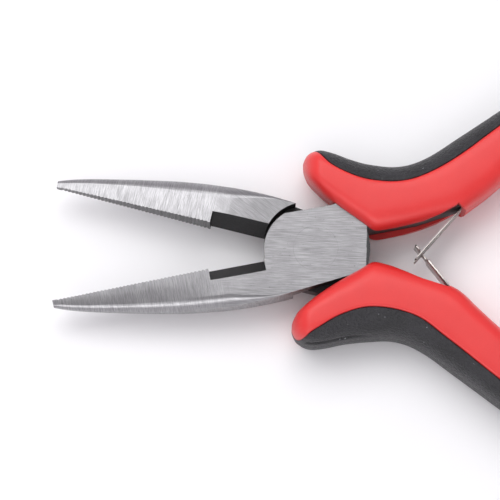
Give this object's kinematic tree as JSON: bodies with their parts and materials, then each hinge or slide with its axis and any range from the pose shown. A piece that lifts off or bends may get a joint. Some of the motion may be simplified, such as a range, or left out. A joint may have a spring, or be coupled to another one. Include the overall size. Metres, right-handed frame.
{
  "type": "needle nose pliers",
  "caption": "Long-nose pliers with tapered gripping jaws, a side cutter behind them, a flush lap joint, soft-backed grips and leaf springs that open the handles.",
  "frame": {"origin": "on the pivot axis, at the flat underside of the joint", "axes": "+X along the tool towards the handles, jaws towards -X; +Y towards the handle of lever A; +Z along the pivot axis, up through the joint"},
  "size_m": [0.1248, 0.081, 0.0146],
  "materials": {
    "steel": "ground steel with fine grinding lines, dark oxide in the recesses",
    "rivet_steel": "ground flush",
    "spring_steel": "bright rolled spring strip",
    "grip_red": "satin moulded plastic",
    "grip_black": "fine-grained soft plastic"
  },
  "bodies": {
    "lever_a_body": {"lever_a": "steel", "pivot_rivet": "rivet_steel", "grip_shell_a": "grip_red", "grip_insert_a": "grip_black", "leaf_tab_a": "spring_steel", "spring_rivet_a": "rivet_steel"},
    "lever_b_body": {"lever_b": "steel", "grip_shell_b": "grip_red", "grip_insert_b": "grip_black", "leaf_tab_b": "spring_steel", "spring_rivet_b": "rivet_steel"},
    "leaf_a": {"leaf_arm_a": "spring_steel"},
    "leaf_b": {"leaf_arm_b": "spring_steel"}
  },
  "joints": [
    {"name": "pivot", "type": "hinge", "parent": "lever_a_body", "child": "lever_b_body", "pos_m": [0, 0, 0.0045], "axis": [0, 0, 1], "range_deg": [0, 24.7], "stiffness_Nm_per_rad": 0.6},
    {"name": "leaf_a_bend", "type": "hinge", "parent": "lever_a_body", "child": "leaf_a", "pos_m": [0.02646, 0.00821, 0.0045], "axis": [0, 0, 1], "range_deg": [-24.4, 0]},
    {"name": "leaf_b_bend", "type": "hinge", "parent": "lever_b_body", "child": "leaf_b", "pos_m": [0.02646, -0.00821, 0.0045], "axis": [0, 0, 1], "range_deg": [0, 24.4]}
  ],
  "couplings": [
    {"joint": "leaf_a_bend", "follows": "pivot", "ratio": -0.9838},
    {"joint": "leaf_b_bend", "follows": "pivot", "ratio": 0.9838}
  ]
}
